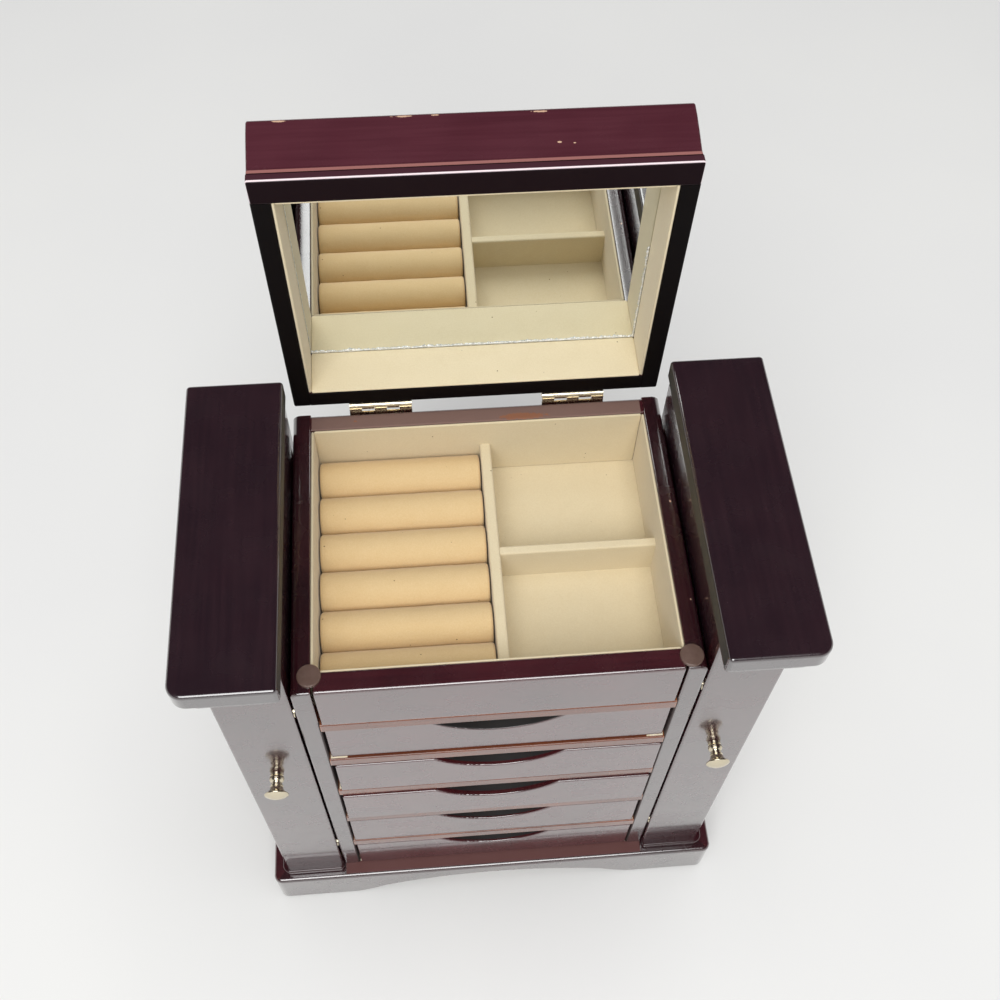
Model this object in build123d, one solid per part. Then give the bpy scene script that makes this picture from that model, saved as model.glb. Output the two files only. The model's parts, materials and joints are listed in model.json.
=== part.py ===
from build123d import *
import os

# Upright wooden jewellery box: a five-drawer cabinet with a lined tray on top, a mirrored lid hinged at
# the back and a necklace wing hinged at each side.  Millimetres, +Z up, -Y to the front.
# The origin is on the resting plane, under the middle of the cabinet.

# ---- Driving dimensions ----------------------------------------------------------------------------------

cabinet_width = 181.0
cabinet_depth = 147.0
rim_height = 293.5
overall_height = 330.0

plinth_height = 34.5
plinth_half_width = 133.0
plinth_front_reach = 8.5
plinth_wall = 12.0
deck_thickness = 9.0
foot_pad_thickness = 1.2
foot_pad_radius = 6.0
foot_pad_margin = 1.0

side_board = 9.0
back_board_thickness = 9.5
tray_front_thickness = 10.0
tray_front_height = 35.7
tray_floor_thickness = 2.4
tray_floor_drop = 5.6
side_reveal = 1.1

drawer_count = 5
drawer_pitch = 44.6
rail_height = 7.6
rail_depth = 14.0
runner_width = 10.0
runner_height = 5.0
glide_thickness = 0.4
glide_size = (8.0, 18.0)
drawer_front_thickness = 10.0
drawer_reveal = 0.6
drawer_box_half_width = 79.0
drawer_box_height = 28.0
drawer_wall = 5.0
drawer_bottom = 3.0
drawer_bottom_rise = 0.5
drawer_box_back_gap = 2.0
scoop_half_width = 32.0
scoop_depth = 13.5
# How far each closed front, top drawer first, stands back from the post faces and to the right.
drawer_set_back = (1.2, -0.5, -1.1, 0.3, 0.0)
drawer_side_shift = (0.0, 0.7, 0.2, -0.2, 0.1)

lining = 1.2
floor_lining = 0.8
eased = 0.6
lining_below_rim = 0.5
long_divider = (0.5, 5.8)
long_divider_height = 22.7
cross_divider = (-0.6, 3.9)
cross_divider_height = 21.6
roll_count = 6
roll_gap = 0.3
bumper_radius = 5.3
bumper_height = 1.5
bumper_spots = ((-82.1, 8.3), (83.7, 6.1))

lid_half_width = 89.1
lid_length = 148.0
lid_thickness = 31.0
lid_side_wall = 8.2
lid_back_wall_thickness = 8.9
lid_front_wall_thickness = 11.9
lid_top_thickness = 3.6
lid_gap = 1.8
lid_open_angle = 88.5
mirror_depth = 24.0
mirror_thickness = 2.0

lid_hinge_back = 2.6
lid_hinge_rise = 2.3
lid_barrel_radius = 2.2
lid_hinge_length = 30.5
lid_hinge_spot = 47.3
lid_leaf_height = 13.0

wing_gap = 0.9
wing_half_width = 125.3
wing_panel = 8.0
wing_side_panel = 7.0
wing_back = 64.5
wing_cap = (90.2, 134.3)
wing_cap_front = -87.4
wing_cap_back = 66.9
wing_cap_thickness = 11.4
wing_moulding = (90.9, 129.6)
wing_moulding_front = -85.8
wing_moulding_thickness = 4.2
wing_base = (90.9, 127.2)
wing_base_front = -78.0
wing_base_lift = 0.7
wing_base_thickness = 4.3
header_thickness = 6.0
header_below_rim = 4.5
hook_count = 6
hook_rail = (6.0, 10.0)
hook_drop = 28.0
hook_radius = 0.9
pocket_thickness = 5.2
pocket_height = 74.0
knob_spot = (108.7, 198.2)
knob_length = 12.2
knob_radius = 5.9
knob_bore_depth = 4.6

wing_hinge_heights = (84.0, 252.0)
wing_hinge_spot = (2.1, 2.3)
wing_barrel_radius = 1.8
wing_hinge_length = 24.0
wing_leaf_width = 11.0
leaf_thickness = 0.8
pin_clearance = 0.05
magnet_heights = (70.0, 268.0)
magnet_radius = 3.2
magnet_thickness = 2.5
strike_thickness = 0.45

# ---- Derived places --------------------------------------------------------------------------------------

half_width = cabinet_width / 2
front = -cabinet_depth / 2
back = cabinet_depth / 2
plinth_front = front - plinth_front_reach
plinth_inner = plinth_half_width - plinth_wall
inside = half_width - side_board
inner_back = back - back_board_thickness
tray_front_bottom = rim_height - tray_front_height
tray_floor_top = tray_front_bottom - tray_floor_drop
lining_inside = inside - lining
tray_inner_front = front + tray_front_thickness + lining
tray_inner_back = inner_back - lining
floor_top = tray_floor_top + floor_lining

hinge_y = back + lid_hinge_back
hinge_z = rim_height + lid_hinge_rise
lid_axis = Axis((0, hinge_y, hinge_z), (1, 0, 0))
lid_bottom = rim_height + lid_gap
lid_top = lid_bottom + lid_thickness
lid_front = back - lid_length
lid_inner_front = lid_front + lid_front_wall_thickness
lid_inner_back = back - lid_back_wall_thickness
lid_inner_half = lid_half_width - lid_side_wall

wing_inner = half_width + wing_gap
wing_base_bottom = plinth_height + wing_base_lift
wing_floor = wing_base_bottom + wing_base_thickness
wing_ceiling = overall_height - wing_cap_thickness - wing_moulding_thickness
wing_shelf_inner = wing_half_width - wing_side_panel
wing_hinge_x = half_width + wing_hinge_spot[0]
wing_hinge_y = wing_back + wing_hinge_spot[1]


# ---- Small tools -----------------------------------------------------------------------------------------


def block(x_span, y_span, z_span):
    """A rectangular board between two limits on each axis, in any order."""
    spans = [sorted(span) for span in (x_span, y_span, z_span)]
    middle = [(low + high) / 2 for low, high in spans]
    size = [high - low for low, high in spans]
    return Pos(*middle) * Box(*size)


def rod(start, direction, length, radius):
    """A round bar from a start point along a direction."""
    bar = Cylinder(radius, length, align=(Align.CENTER, Align.CENTER, Align.MIN))
    return Plane(origin=start, z_dir=direction) * bar


def rounded(body, radius, spots):
    """Round the edges of a body whose middles lie nearest to the given spots."""
    picked = [min(body.edges(), key=lambda edge: (edge.center() - Vector(*spot)).length) for spot in spots]
    return fillet(picked, radius)


def eased_slab(x_span, y_span, z_span, corner, small_corner, edge):
    """A slab with a large rounded outer front corner, small other corners and rounded rims."""
    slab = block(x_span, y_span, z_span)
    uprights = slab.edges().filter_by(Axis.Z)
    outer_front = max(uprights, key=lambda line: line.center().X - line.center().Y)
    others = [line for line in uprights if line.center() != outer_front.center()]
    slab = fillet(others, small_corner)
    uprights = slab.edges().filter_by(Axis.Z)
    slab = fillet(max(uprights, key=lambda line: line.center().X - line.center().Y), corner)
    rims = slab.faces().sort_by(Axis.Z)[-1].edges() + slab.faces().sort_by(Axis.Z)[0].edges()
    return fillet(rims, edge)


def save(name, pieces):
    """Write one sub-part, made of one or more separate solids."""
    solids = [solid for piece in pieces for solid in piece.solids()]
    shape = solids[0] if len(solids) == 1 else Compound(children=solids)
    export_step(shape, f"parts/{name}.step")


def both_sides(pieces):
    """The pieces of the right side and their mirror images on the left."""
    return pieces + [mirror(piece, about=Plane.YZ) for piece in pieces]


# ---- Plinth ----------------------------------------------------------------------------------------------


def plinth_ring():
    """The four aprons as one ring, with rounded corners and a rounded top rim, before they are mitred."""
    x_span, z_span = (-plinth_half_width, plinth_half_width), (foot_pad_thickness, plinth_height)
    outer = block(x_span, (plinth_front, back), z_span)
    outer = fillet(outer.edges().filter_by(Axis.Z), 5.0)
    outer = fillet(outer.faces().sort_by(Axis.Z)[-1].edges(), 2.2)
    outer = fillet(outer.faces().sort_by(Axis.Z)[0].edges(), 0.8)
    inner_y = (plinth_front + plinth_wall, back - plinth_wall)
    return outer - block((-plinth_inner, plinth_inner), inner_y, (0, rim_height))


def mitre_prism(outer_corners, inner_corners):
    """The plan wedge that one apron fills: a trapezium between the two mitre lines of its ends."""
    return extrude(make_face(Polyline(*outer_corners, *reversed(inner_corners), close=True)), plinth_height)


def apron_arch():
    """The shallow arch under the front apron: one wide arc with a small reversed arc at each end."""
    rise, shoulder, foot = 22.5, (67.0, 9.8), (87.0, 0.0)
    bend = (76.5, 4.2)
    outline = [
        Line((-foot[0], -1), (-foot[0], foot[1])),
        ThreePointArc((-foot[0], foot[1]), (-bend[0], bend[1]), (-shoulder[0], shoulder[1])),
        ThreePointArc((-shoulder[0], shoulder[1]), (0, rise), shoulder),
        ThreePointArc(shoulder, bend, foot),
        Line(foot, (foot[0], -1)),
        Line((foot[0], -1), (-foot[0], -1)),
    ]
    face = make_face(outline)
    cutter = extrude(Plane.XZ * face, 4 * plinth_wall, both=True)
    return Pos(0, plinth_front, foot_pad_thickness) * cutter


def make_plinth():
    ring = plinth_ring()
    x_out, x_in = plinth_half_width, plinth_inner
    y_out, y_in = (plinth_front, back), (plinth_front + plinth_wall, back - plinth_wall)
    front_wedge = mitre_prism([(-x_out, y_out[0]), (x_out, y_out[0])], [(-x_in, y_in[0]), (x_in, y_in[0])])
    side_wedge = mitre_prism([(x_out, y_out[0]), (x_out, y_out[1])], [(x_in, y_in[0]), (x_in, y_in[1])])
    back_wedge = mitre_prism([(-x_out, y_out[1]), (x_out, y_out[1])], [(-x_in, y_in[1]), (x_in, y_in[1])])
    save("plinth_front_apron", [(ring & front_wedge) - apron_arch()])
    save("plinth_rear_aprons", both_sides([ring & side_wedge]) + [ring & back_wedge])
    save("plinth_deck", [block((-x_in, x_in), y_in, (plinth_height - deck_thickness, plinth_height))])

    inset = foot_pad_radius + foot_pad_margin
    spots = [(x_out - inset, plinth_front + inset), (x_out - inset, back - inset)]
    pads = [rod((x, y, 0), (0, 0, 1), foot_pad_thickness, foot_pad_radius) for x, y in spots]
    save("felt_feet", both_sides(pads))


# ---- Cabinet ---------------------------------------------------------------------------------------------


def catch_disc(height, radius):
    """A disc in the outer face of the right post, where a catch magnet sits."""
    start = (half_width - magnet_thickness, front + wing_panel / 2, height)
    return rod(start, (1, 0, 0), magnet_thickness, radius)


def make_cabinet_walls():
    middle_z = (plinth_height + rim_height) / 2
    board = block((inside, half_width), (front, back), (plinth_height, rim_height))
    board = rounded(board, 4.0, [(half_width, 0, rim_height)])
    board = rounded(board, 1.2, [(half_width, front, middle_z), (inside, front, middle_z)])
    board = rounded(board, eased, [(inside, 0, rim_height), ((inside + half_width) / 2, front, rim_height)])
    board = rounded(board, eased, [(half_width, back, middle_z)])
    for height in magnet_heights:
        board -= catch_disc(height, magnet_radius + pin_clearance)
    save("right_side_board", [board])
    save("left_side_board", [mirror(board, about=Plane.YZ)])

    rear = block((-inside, inside), (inner_back, back), (plinth_height, rim_height))
    rear = rounded(rear, 3.0, [(0, back, rim_height)])
    save("back_board", [rounded(rear, eased, [(0, inner_back, rim_height)])])

    reach = inside - side_reveal
    panel = block((-reach, reach), (front, front + tray_front_thickness), (tray_front_bottom, rim_height))
    panel = rounded(panel, 1.5, [(0, front, rim_height)])
    panel = rounded(panel, 0.8, [(0, front, tray_front_bottom)])
    panel = rounded(panel, eased, [(0, front + tray_front_thickness, rim_height)])
    middle_z = (tray_front_bottom + rim_height) / 2
    save("tray_front_panel", [rounded(panel, eased, [(-reach, front, middle_z), (reach, front, middle_z)])])

    floor = block(
        (-inside, inside),
        (front + tray_front_thickness, inner_back),
        (tray_floor_top - tray_floor_thickness, tray_floor_top),
    )
    save("tray_floor_board", [floor])

    save("catch_magnets", both_sides([catch_disc(height, magnet_radius) for height in magnet_heights]))


def rail_top(level):
    """Height of the top of a drawer rail; level 0 is the rail under the tray front."""
    return tray_front_bottom - 0.6 - level * drawer_pitch


def drawer_floor(index):
    """Height of the surface that a drawer slides on, without its glide strips."""
    return rail_top(index + 1) if index + 1 < drawer_count else plinth_height


def make_drawer_frames():
    """Front rails with a runner behind each end, and the glide strips on them."""
    frames, glides = [], []
    for level in range(drawer_count):
        top = rail_top(level)
        depth = tray_front_thickness if level == 0 else rail_depth
        rail = block((-inside, inside), (front, front + depth), (top - rail_height, top))
        frames.append(rounded(rail, 0.8, [(0, front, top), (0, front, top - rail_height)]))
        runner_top = tray_floor_top - tray_floor_thickness if level == 0 else top
        runner = block(
            (inside - runner_width, inside),
            (front + rail_depth, inner_back),
            (runner_top - runner_height, runner_top),
        )
        frames += both_sides([runner])
    for index in range(drawer_count):
        z = drawer_floor(index)
        strip = block(
            (inside - 0.6 - glide_size[0], inside - 0.6),
            (front + 1.0, front + 1.0 + glide_size[1]),
            (z, z + glide_thickness),
        )
        glides += both_sides([strip])
    save("drawer_frames", frames)
    save("drawer_glides", glides)


# ---- Tray ------------------------------------------------------------------------------------------------


def make_tray():
    top = rim_height - lining_below_rim
    clear_y, lined_x = (front + tray_front_thickness, inner_back), (-lining_inside, lining_inside)
    wall = block((lining_inside, inside), clear_y, (floor_top, top))
    ends = [
        block(lined_x, (clear_y[0], tray_inner_front), (floor_top, top)),
        block(lined_x, (tray_inner_back, clear_y[1]), (floor_top, top)),
    ]
    bed = block((-inside, inside), clear_y, (tray_floor_top, floor_top))
    save("tray_lining", both_sides([wall]) + ends + [bed])

    crest = floor_top + long_divider_height
    fence = block(long_divider, (tray_inner_front, tray_inner_back), (floor_top, crest))
    fence = rounded(fence, 1.2, [(long_divider[0], 0, crest), (long_divider[1], 0, crest)])
    save("long_divider", [fence])

    crest = floor_top + cross_divider_height
    middle_x = (long_divider[1] + lining_inside) / 2
    fence = block((long_divider[1], lining_inside), cross_divider, (floor_top, crest))
    fence = rounded(fence, 1.0, [(middle_x, cross_divider[0], crest), (middle_x, cross_divider[1], crest)])
    save("cross_divider", [fence])

    pitch = (tray_inner_back - tray_inner_front) / roll_count
    radius = (pitch - roll_gap) / 2
    length = lining_inside + long_divider[0] - 2 * roll_gap
    rolls = []
    for index in range(roll_count):
        y = tray_inner_front + (index + 0.5) * pitch
        rolls.append(rod((-lining_inside + roll_gap, y, floor_top + radius + 0.1), (1, 0, 0), length, radius))
    save("ring_rolls", rolls)

    discs = []
    for x, inset in bumper_spots:
        disc = rod((x, front + inset, rim_height), (0, 0, 1), bumper_height, bumper_radius)
        discs.append(fillet(disc.faces().sort_by(Axis.Z)[-1].edges(), 0.6))
    save("lid_bumpers", discs)


# ---- Drawers ---------------------------------------------------------------------------------------------


def scoop_cutter(top):
    """A disc across the front board that leaves the finger scoop in its upper edge."""
    radius = (scoop_half_width**2 + scoop_depth**2) / (2 * scoop_depth)
    return rod((0, front - 20, top - scoop_depth + radius), (0, 1, 0), 60, radius)


def make_drawer(index):
    """One drawer: a front board with a scoop, and a box of two sides, a back and a bottom behind it."""
    shift, set_back = drawer_side_shift[index], drawer_set_back[index]
    floor = drawer_floor(index)
    top = rail_top(index) - rail_height - drawer_reveal
    low = floor + drawer_reveal + glide_thickness
    reach = inside - side_reveal
    board = block((-reach, reach), (front, front + drawer_front_thickness), (low, top))
    board = rounded(board, 0.8, [(0, front, low)])
    board = rounded(board, eased, [(-reach, front, (low + top) / 2), (reach, front, (low + top) / 2)])
    board -= scoop_cutter(top)
    upper = [edge for edge in board.edges() if edge.center().Z > top - scoop_depth - 1]
    rims = [edge for edge in upper if abs(edge.center().Y - front) < 1 and edge.length > drawer_wall]
    board = fillet(rims, 0.8)
    place = Pos(shift, set_back, 0)
    save(f"drawer_{index + 1}_front", [place * board])

    base = floor + glide_thickness
    box_front, box_back = front + drawer_front_thickness, inner_back - drawer_box_back_gap
    inner = drawer_box_half_width - drawer_wall
    side = block((inner, drawer_box_half_width), (box_front, box_back), (base, base + drawer_box_height))
    rear = block((-inner, inner), (box_back - drawer_wall, box_back), (base, base + drawer_box_height))
    bottom_low = base + drawer_bottom_rise
    bottom_z = (bottom_low, bottom_low + drawer_bottom)
    bottom = block((-inner, inner), (box_front, box_back - drawer_wall), bottom_z)
    save(f"drawer_{index + 1}_box", [place * piece for piece in both_sides([side]) + [rear, bottom]])


# ---- Lid, modelled closed and then swung open about its hinge ------------------------------------------


def opened(pieces):
    """The pieces of the closed lid, swung up to the stop of the hinge."""
    return [piece.rotate(lid_axis, -lid_open_angle) for piece in pieces]


def lid_front_profile():
    """Section of the front wall: a square lip, a notch under it, a flare out to the top, a round edge."""
    lip, top = lid_front_wall_thickness, lid_thickness
    points = lambda spots: [(lid_inner_front - reach, lid_bottom + height) for reach, height in spots]
    outline = [
        Polyline(*points([(0, 0), (lip - 0.8, 0), (lip, 0.8), (lip, 4.6), (10.9, 5.6), (10.9, 8.2)])),
        ThreePointArc(*points([(10.9, 8.2), (13.0, 16.0), (14.8, 24.0)])),
        Line(*points([(14.8, 24.0), (15.2, top - 2.8)])),
        ThreePointArc(*points([(15.2, top - 2.8), (14.6, top - 0.7), (13.2, top)])),
        Polyline(*points([(13.2, top), (0, top), (0, 0)])),
    ]
    return Plane.YZ * make_face(outline)


def make_lid():
    front_wall = extrude(lid_front_profile(), lid_half_width, both=True)
    ends = [edge for edge in front_wall.edges() if abs(edge.center().X) > lid_half_width - 0.01]
    outer_ends = [edge for edge in ends if edge.center().Y < lid_inner_front - 4 and edge.length > 1]
    front_wall = fillet(outer_ends, 0.9)
    front_wall = rounded(front_wall, eased, [(0, lid_inner_front, lid_bottom)])
    save("lid_front_wall", opened([front_wall]))

    middle_y, middle_z = (lid_inner_front + back) / 2, (lid_bottom + lid_top) / 2
    side = block((lid_inner_half, lid_half_width), (lid_inner_front, back), (lid_bottom, lid_top))
    side = rounded(side, 2.0, [(lid_half_width, middle_y, lid_top)])
    side = rounded(side, 1.0, [(lid_half_width, middle_y, lid_bottom), (lid_half_width, back, middle_z)])
    side = rounded(side, eased, [(lid_inner_half, middle_y, lid_bottom)])
    save("lid_side_walls", opened(both_sides([side])))

    rear = block((-lid_inner_half, lid_inner_half), (lid_inner_back, back), (lid_bottom, lid_top))
    rear = rounded(rear, 2.0, [(0, back, lid_top)])
    save("lid_back_wall", opened([rounded(rear, eased, [(0, lid_inner_back, lid_bottom)])]))

    reach_x, reach_y = (-lid_inner_half, lid_inner_half), (lid_inner_front, lid_inner_back)
    save("lid_top_panel", opened([block(reach_x, reach_y, (lid_top - lid_top_thickness, lid_top))]))

    mirror_face = lid_bottom + mirror_depth
    mirror_back = mirror_face + mirror_thickness
    glass = block(reach_x, reach_y, (mirror_face, mirror_back))
    save("lid_mirror", opened([glass]))
    save("mirror_backing", opened([block(reach_x, reach_y, (mirror_back, lid_top - lid_top_thickness))]))

    span_z = (lid_bottom + lining_below_rim, mirror_face)
    lined_half = lid_inner_half - lining
    strips = both_sides([block((lined_half, lid_inner_half), reach_y, span_z)])
    strips += [
        block((-lined_half, lined_half), (lid_inner_front, lid_inner_front + lining), span_z),
        block((-lined_half, lined_half), (lid_inner_back - lining, lid_inner_back), span_z),
    ]
    save("lid_lining", opened(strips))


def lid_hinge_leaf(centre, upper):
    """One leaf of a lid hinge with its knuckles: the upper one is on the lid, the lower on the cabinet."""
    knuckle = lid_hinge_length / 5
    sign = 1 if upper else -1
    plate_span = (hinge_z + sign * (lid_barrel_radius + 0.4), hinge_z + sign * lid_leaf_height)
    x_span = (centre - lid_hinge_length / 2, centre + lid_hinge_length / 2)
    leaf = block(x_span, (back, back + leaf_thickness), plate_span)
    numbers = (1, 3) if upper else (0, 2, 4)
    for number in numbers:
        start = x_span[0] + number * knuckle + 0.1
        barrel = rod((start, hinge_y, hinge_z), (1, 0, 0), knuckle - 0.2, lid_barrel_radius)
        tab = block((start, start + knuckle - 0.2), (back, back + leaf_thickness), (hinge_z, plate_span[0]))
        leaf += barrel + tab
    bore_radius = lid_barrel_radius / 2 + pin_clearance
    return leaf - rod((x_span[0] - 1, hinge_y, hinge_z), (1, 0, 0), lid_hinge_length + 2, bore_radius)


def lid_hinge_pin(centre):
    """The pin through all the knuckles of a lid hinge."""
    start = (centre - lid_hinge_length / 2, hinge_y, hinge_z)
    return rod(start, (1, 0, 0), lid_hinge_length, lid_barrel_radius / 2)


# ---- Wings, modelled on the right and mirrored -----------------------------------------------------------


def wing_hinge_leaf(height, on_wing):
    """One leaf of a wing hinge: the middle knuckle is on the wing, the two outer ones on the cabinet."""
    knuckle = wing_hinge_length / 3
    low = height - wing_hinge_length / 2
    z_span = (low, low + wing_hinge_length)
    clear = wing_barrel_radius + 0.4
    if on_wing:
        y_span = (wing_back, wing_back + leaf_thickness)
        leaf = block((wing_hinge_x + clear, wing_hinge_x + wing_leaf_width), y_span, z_span)
        numbers, tab_x, tab_y = (1,), (wing_hinge_x, wing_hinge_x + clear), y_span
    else:
        x_span = (half_width, half_width + leaf_thickness)
        leaf = block(x_span, (wing_hinge_y + clear, back - 0.5), z_span)
        numbers, tab_x, tab_y = (0, 2), x_span, (wing_hinge_y, wing_hinge_y + clear)
    for number in numbers:
        start = low + number * knuckle + 0.1
        barrel = rod((wing_hinge_x, wing_hinge_y, start), (0, 0, 1), knuckle - 0.2, wing_barrel_radius)
        leaf += barrel + block(tab_x, tab_y, (start, start + knuckle - 0.2))
    bore_radius = wing_barrel_radius / 2 + pin_clearance
    return leaf - rod((wing_hinge_x, wing_hinge_y, low - 1), (0, 0, 1), wing_hinge_length + 2, bore_radius)


def wing_hinge_pin(height):
    """The pin through the three knuckles of a wing hinge."""
    start = (wing_hinge_x, wing_hinge_y, height - wing_hinge_length / 2)
    return rod(start, (0, 0, 1), wing_hinge_length, wing_barrel_radius / 2)


def knob():
    """A turned knob: a base ring, a round collar, a waist, a thin ring and a flared end with a domed face."""
    tip, rim = knob_length, knob_radius - 0.3
    shoulder = tip - 1.6
    rise = tip - shoulder
    dome_radius = (rim**2 + rise**2) / (2 * rise)
    dome_middle = (rim / 2, tip - dome_radius + (dome_radius**2 - rim**2 / 4) ** 0.5)
    outline = [
        Polyline((0, 0), (3.2, 0), (3.2, 0.6), (2.9, 0.8)),
        ThreePointArc((2.9, 0.8), (3.6, 2.3), (2.8, 3.9)),
        Polyline((2.8, 3.9), (2.6, 4.3), (2.6, 5.3), (3.2, 5.6), (3.2, 6.1), (3.0, 6.3)),
        ThreePointArc((3.0, 6.3), (3.8, 8.2), (rim, shoulder - 0.9)),
        ThreePointArc((rim, shoulder - 0.9), (knob_radius, shoulder - 0.4), (rim, shoulder)),
        ThreePointArc((rim, shoulder), dome_middle, (0, tip)),
        Line((0, tip), (0, 0)),
    ]
    body = revolve(Plane.XZ * make_face(outline), Axis.Z, 360)
    body -= rod((0, 0, -1), (0, 0, 1), knob_bore_depth + 1, 1.5)
    return Pos(knob_spot[0], front, knob_spot[1]) * (Rot(90, 0, 0) * body)


def knob_screw():
    """The screw that holds the knob from inside the wing."""
    x, z = knob_spot
    inner = front + wing_panel
    head = rod((x, inner, z), (0, 1, 0), 1.6, 3.0)
    reach = knob_bore_depth - 0.1
    return head + rod((x, front - reach, z), (0, 1, 0), wing_panel + reach, 1.45)


def necklace_hook(y):
    """A round hook: a shank out of the rail and an upturned end."""
    root_x, z = wing_shelf_inner - hook_rail[0], wing_ceiling - hook_drop + 3.0
    shank = rod((root_x, y, z), (-1, 0, 0), 6.0, hook_radius)
    tip = rod((root_x - 6.0, y, z), (0, 0, 1), 4.5, hook_radius)
    return shank + tip + Pos(root_x - 6.0, y, z) * Sphere(hook_radius)


def wing_parts():
    """Every piece of the right wing, by name."""
    z_span = (wing_floor, wing_ceiling)
    face_x = (wing_inner, wing_half_width)
    middle_z = sum(z_span) / 2
    panel = block(face_x, (front, front + wing_panel), z_span)
    panel = rounded(panel, 1.2, [(wing_half_width, front, middle_z), (wing_inner, front, middle_z)])
    x, z = knob_spot
    panel -= rod((x, front - 1, z), (0, 1, 0), wing_panel + 2, 1.6)
    outer = block((wing_shelf_inner, wing_half_width), (front + wing_panel, wing_back), z_span)
    rear = block((wing_inner, wing_shelf_inner), (wing_back - wing_side_panel, wing_back), z_span)
    header = block(
        (wing_inner, wing_inner + header_thickness),
        (front + wing_panel, wing_back - wing_side_panel),
        (rim_height - header_below_rim, wing_ceiling),
    )
    cap_bottom = overall_height - wing_cap_thickness
    cap_y, moulding_y = (wing_cap_front, wing_cap_back), (wing_moulding_front, wing_back)
    cap = eased_slab(wing_cap, cap_y, (cap_bottom, overall_height), 7.0, 1.9, 1.7)
    moulding = eased_slab(wing_moulding, moulding_y, (wing_ceiling, cap_bottom), 6.0, 2.2, 1.6)
    base_y, base_z = (wing_base_front, wing_back), (wing_base_bottom, wing_floor)
    base = eased_slab(wing_base, base_y, base_z, 5.0, 1.6, 1.3)

    rail_z = wing_ceiling - hook_drop
    rail = block(
        (wing_shelf_inner - hook_rail[0], wing_shelf_inner),
        (front + wing_panel + 8, wing_back - wing_side_panel - 8),
        (rail_z - hook_rail[1] / 2, rail_z + hook_rail[1] / 2),
    )
    first, last = front + wing_panel + 16, wing_back - wing_side_panel - 16
    hooks = [necklace_hook(first + index * (last - first) / (hook_count - 1)) for index in range(hook_count)]
    pocket = block(
        (wing_shelf_inner - 0.3 - pocket_thickness, wing_shelf_inner - 0.3),
        (front + wing_panel + 5, wing_back - wing_side_panel - 5),
        (wing_floor + 0.8, wing_floor + 0.8 + pocket_height),
    )
    pocket = fillet(pocket.edges().filter_by(Axis.Z), 1.8)
    strikes = [
        rod((wing_inner, front + wing_panel / 2, z), (-1, 0, 0), strike_thickness, magnet_radius)
        for z in magnet_heights
    ]
    leaves = [wing_hinge_leaf(height, True) for height in wing_hinge_heights]
    return {
        "front_panel": [panel],
        "outer_panel": [outer],
        "back_panel": [rear],
        "header": [header],
        "cap": [cap],
        "cap_moulding": [moulding],
        "base": [base],
        "necklace_hooks": [rail] + hooks,
        "pocket": [pocket],
        "knob": [knob()],
        "fittings": leaves + strikes + [knob_screw()],
    }


def make_wings():
    for name, pieces in wing_parts().items():
        save(f"right_wing_{name}", pieces)
        save(f"left_wing_{name}", [mirror(piece, about=Plane.YZ) for piece in pieces])


def make_hinges():
    spots = (-lid_hinge_spot, lid_hinge_spot)
    save("lid_hinge_fixed_leaves", [lid_hinge_leaf(x, False) for x in spots])
    save("lid_hinge_lid_leaves", opened([lid_hinge_leaf(x, True) for x in spots]))
    save("wing_hinge_fixed_leaves", both_sides([wing_hinge_leaf(z, False) for z in wing_hinge_heights]))
    pins = [lid_hinge_pin(x) for x in spots] + both_sides([wing_hinge_pin(z) for z in wing_hinge_heights])
    save("hinge_pins", pins)


# ---- Build -----------------------------------------------------------------------------------------------

os.makedirs("parts", exist_ok=True)
make_plinth()
make_cabinet_walls()
make_drawer_frames()
make_tray()
for number in range(drawer_count):
    make_drawer(number)
make_lid()
make_wings()
make_hinges()
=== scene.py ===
# %% [markdown]
# Upright jewellery box with a mirrored lid
#
# The construction of this box (boards, hinges, drawers, wings) comes ready made as a fixed frame.
# This notebook gives it its finish: lacquer, suede, silvered glass and plated metal, and it adds the
# soft and small pieces: the ring rolls, the suede cards, the gathered pockets and the screws.
# Everything is in metres, with +Z up and the front of the box towards -Y.

# %% Load the frame
import json
import math
import bpy
import numpy as np
from mathutils import Matrix, Vector


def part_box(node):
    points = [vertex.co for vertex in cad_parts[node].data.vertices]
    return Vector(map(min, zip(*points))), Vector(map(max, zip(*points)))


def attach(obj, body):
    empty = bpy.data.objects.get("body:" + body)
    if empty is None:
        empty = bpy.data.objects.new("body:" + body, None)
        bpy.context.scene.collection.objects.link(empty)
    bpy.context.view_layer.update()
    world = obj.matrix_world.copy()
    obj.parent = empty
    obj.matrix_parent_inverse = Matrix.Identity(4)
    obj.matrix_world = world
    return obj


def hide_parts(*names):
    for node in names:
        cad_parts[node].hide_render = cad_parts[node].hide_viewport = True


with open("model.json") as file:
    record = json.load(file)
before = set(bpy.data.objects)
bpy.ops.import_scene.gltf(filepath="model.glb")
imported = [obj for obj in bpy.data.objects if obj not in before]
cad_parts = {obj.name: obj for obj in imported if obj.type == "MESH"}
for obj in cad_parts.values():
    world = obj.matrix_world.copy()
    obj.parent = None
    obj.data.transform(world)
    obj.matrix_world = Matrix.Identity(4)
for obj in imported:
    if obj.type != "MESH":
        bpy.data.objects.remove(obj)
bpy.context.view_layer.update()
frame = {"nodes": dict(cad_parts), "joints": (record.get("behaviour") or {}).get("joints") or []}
MM = 0.001

# %% [markdown]
# The camera
#
# A camera is a place, a direction and a focal length. Yaw turns it about the vertical, pitch tips it
# down and roll leans it about its own line of sight. Building the three axes from those angles keeps
# each number readable, which a bare rotation matrix would not.

# %% Camera
CAMERA_PLACE = Vector((-25.33, -279.61, 771.87)) * MM
YAW, PITCH, ROLL = math.radians(6.16), math.radians(57.96), math.radians(-1.84)
LENS, SENSOR = 43.32, 36.0


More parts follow.
